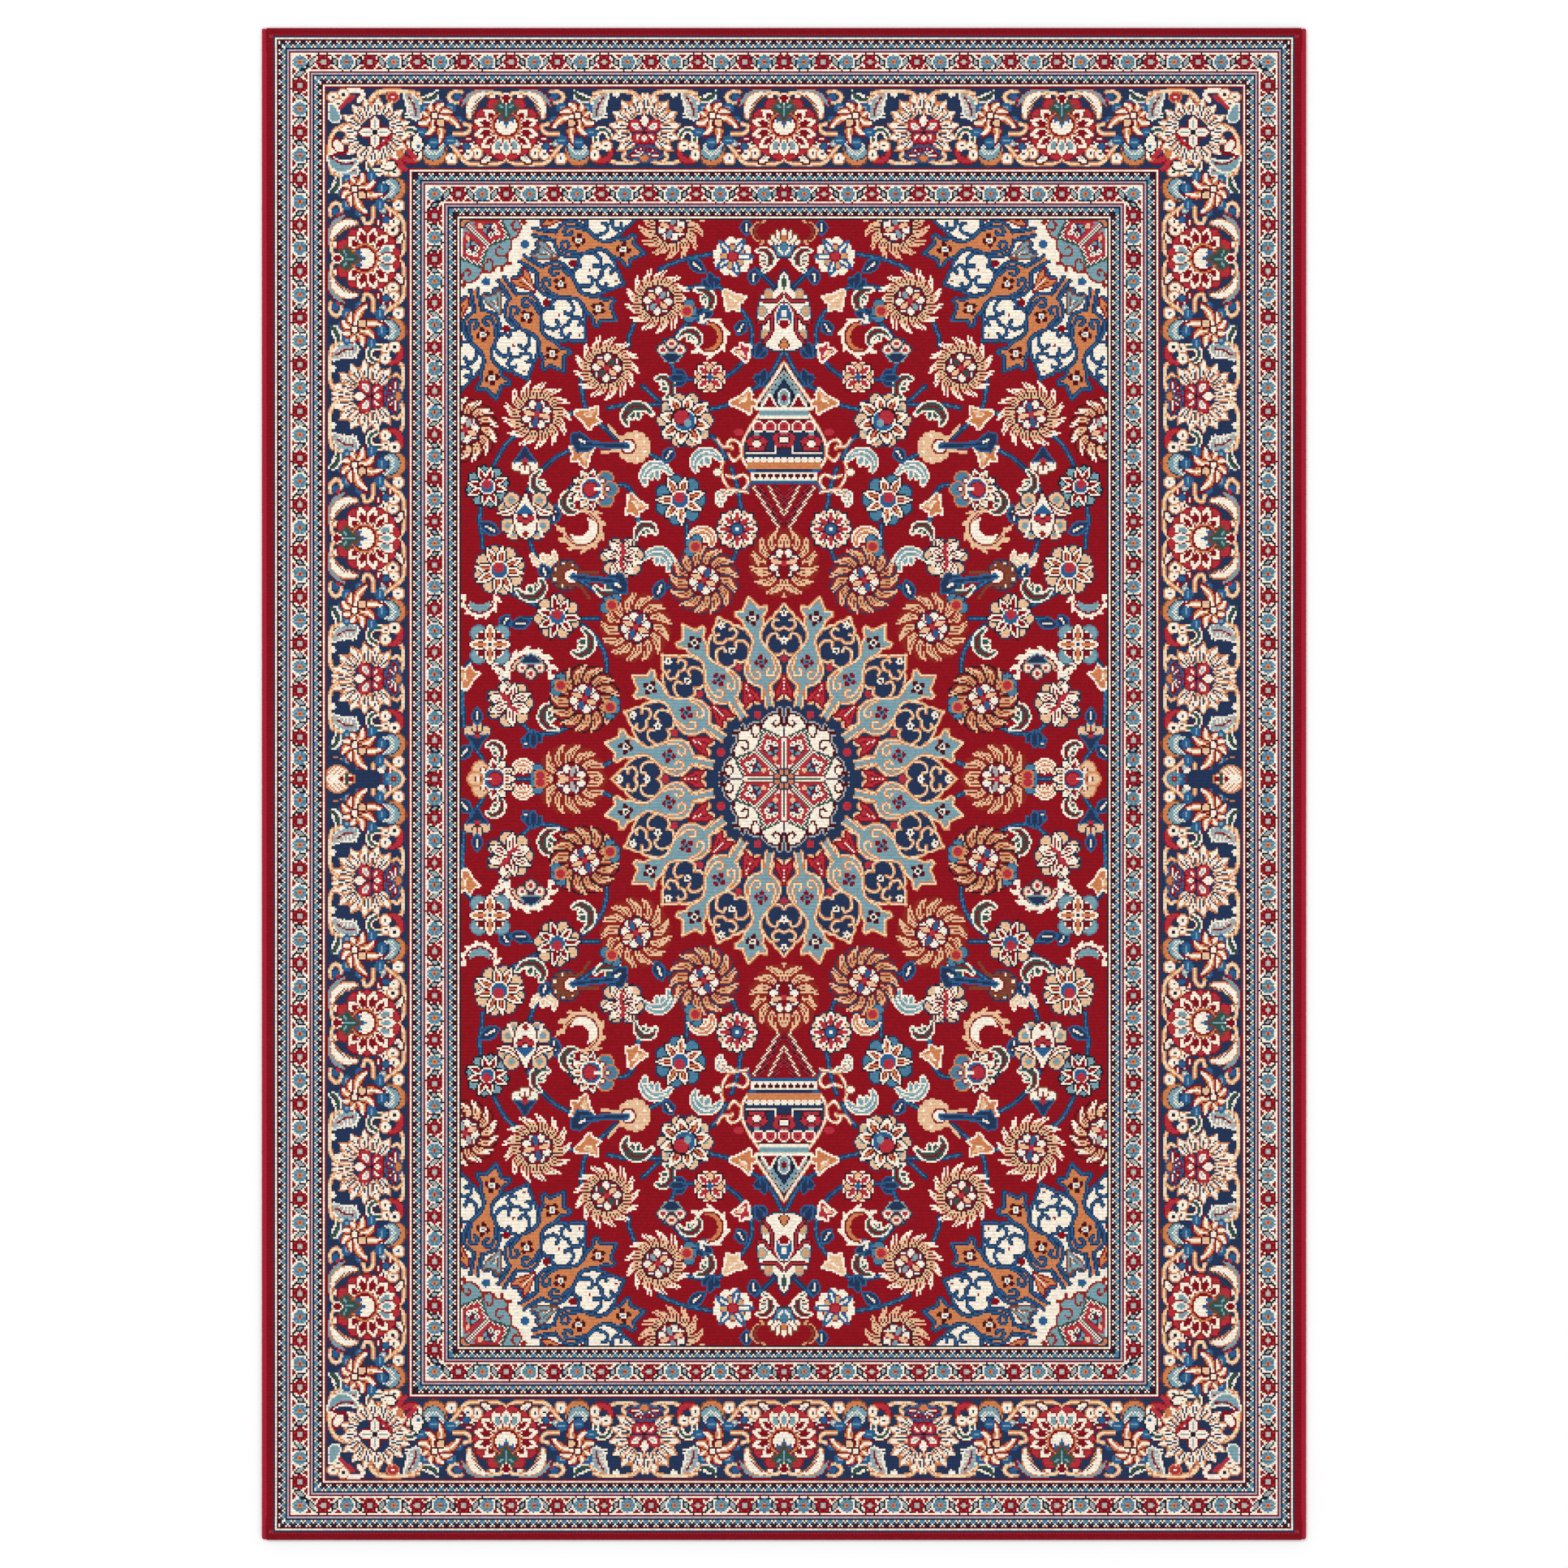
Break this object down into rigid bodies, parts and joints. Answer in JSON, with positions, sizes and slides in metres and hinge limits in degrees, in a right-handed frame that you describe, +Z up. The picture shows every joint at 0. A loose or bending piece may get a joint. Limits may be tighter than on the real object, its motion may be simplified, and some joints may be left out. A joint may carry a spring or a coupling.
{
  "type": "area rug",
  "caption": "Rectangular machine-woven area rug with a lobed medallion, corner pieces and flower borders, overcast long sides and turned, stitched ends.",
  "frame": {"origin": "on the floor, under the centre of the rug", "axes": "+X across the width, +Y along the length towards the head end, +Z up out of the pile"},
  "size_m": [1.6, 2.316, 0.0081],
  "materials": {
    "pile_yarn": "short sheared pile, matt",
    "edge_yarn": "wrapped yarn, slight sheen",
    "cotton": "plain weave, matt",
    "thread": "twisted thread, slight sheen",
    "latex": "thin coat over coarse weave, matt",
    "label": "smooth satin tape, blank"
  },
  "bodies": {
    "root": {"back_coating": "latex", "ground_weave": "cotton", "pile": "pile_yarn", "overcasting_left": "edge_yarn", "overcasting_right": "edge_yarn", "filler_cord_left": "cotton", "filler_cord_right": "cotton", "hem_thread_head": "thread", "hem_thread_foot": "thread", "corner_tacks": "thread", "care_label": "label", "label_thread": "thread"}
  },
  "joints": []
}
